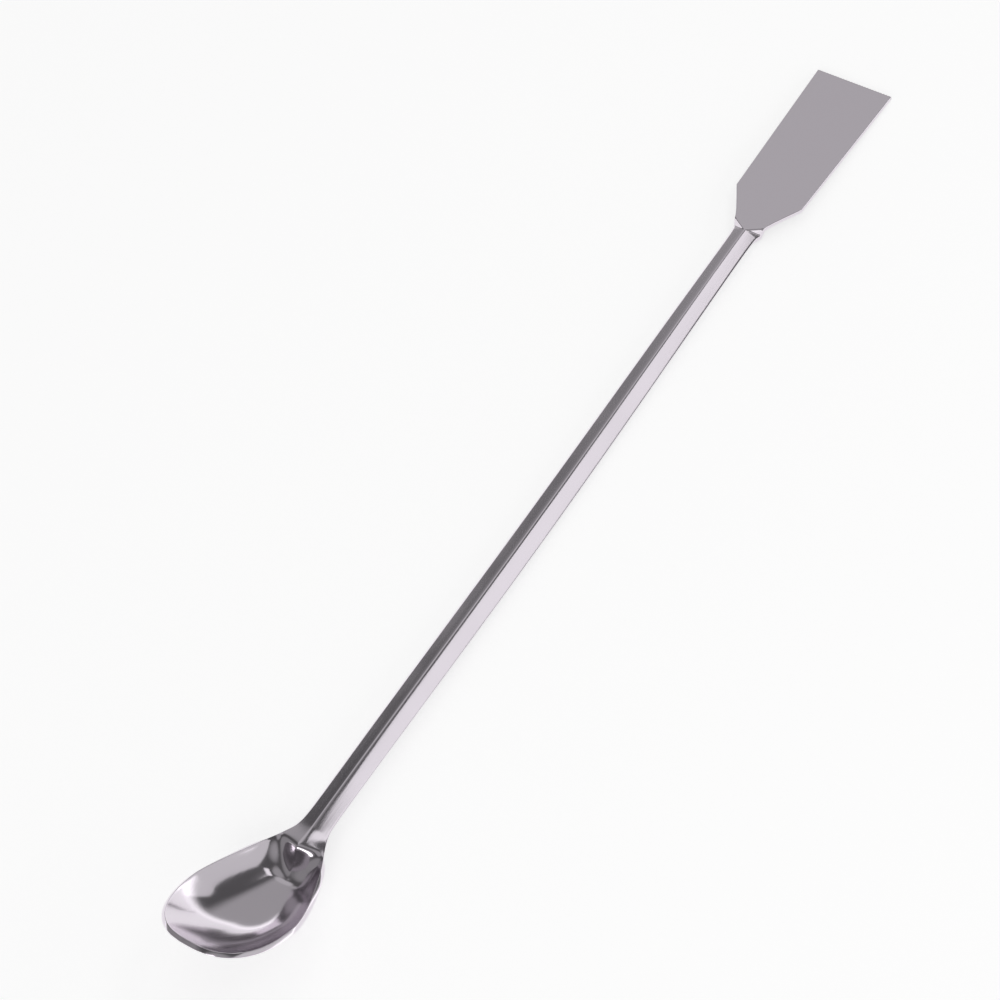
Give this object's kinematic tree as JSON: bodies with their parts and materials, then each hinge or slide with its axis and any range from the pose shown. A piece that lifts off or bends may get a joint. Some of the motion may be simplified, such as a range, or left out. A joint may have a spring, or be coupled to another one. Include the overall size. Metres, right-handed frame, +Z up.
{
  "type": "lab spatula",
  "caption": "Pressed stainless steel lab spatula with a spoon bowl, a ridged handle and a flat square-ended blade",
  "frame": {"origin": "Centre of the bounding box at ground level, under the spatula as it lies at rest", "axes": "+X runs along the handle from the bowl to the blade, +Y across it, +Z up"},
  "size_m": [0.1998, 0.02, 0.0159],
  "materials": {
    "steel": "polished"
  },
  "bodies": {
    "root": {"spatula": "steel"}
  },
  "joints": []
}
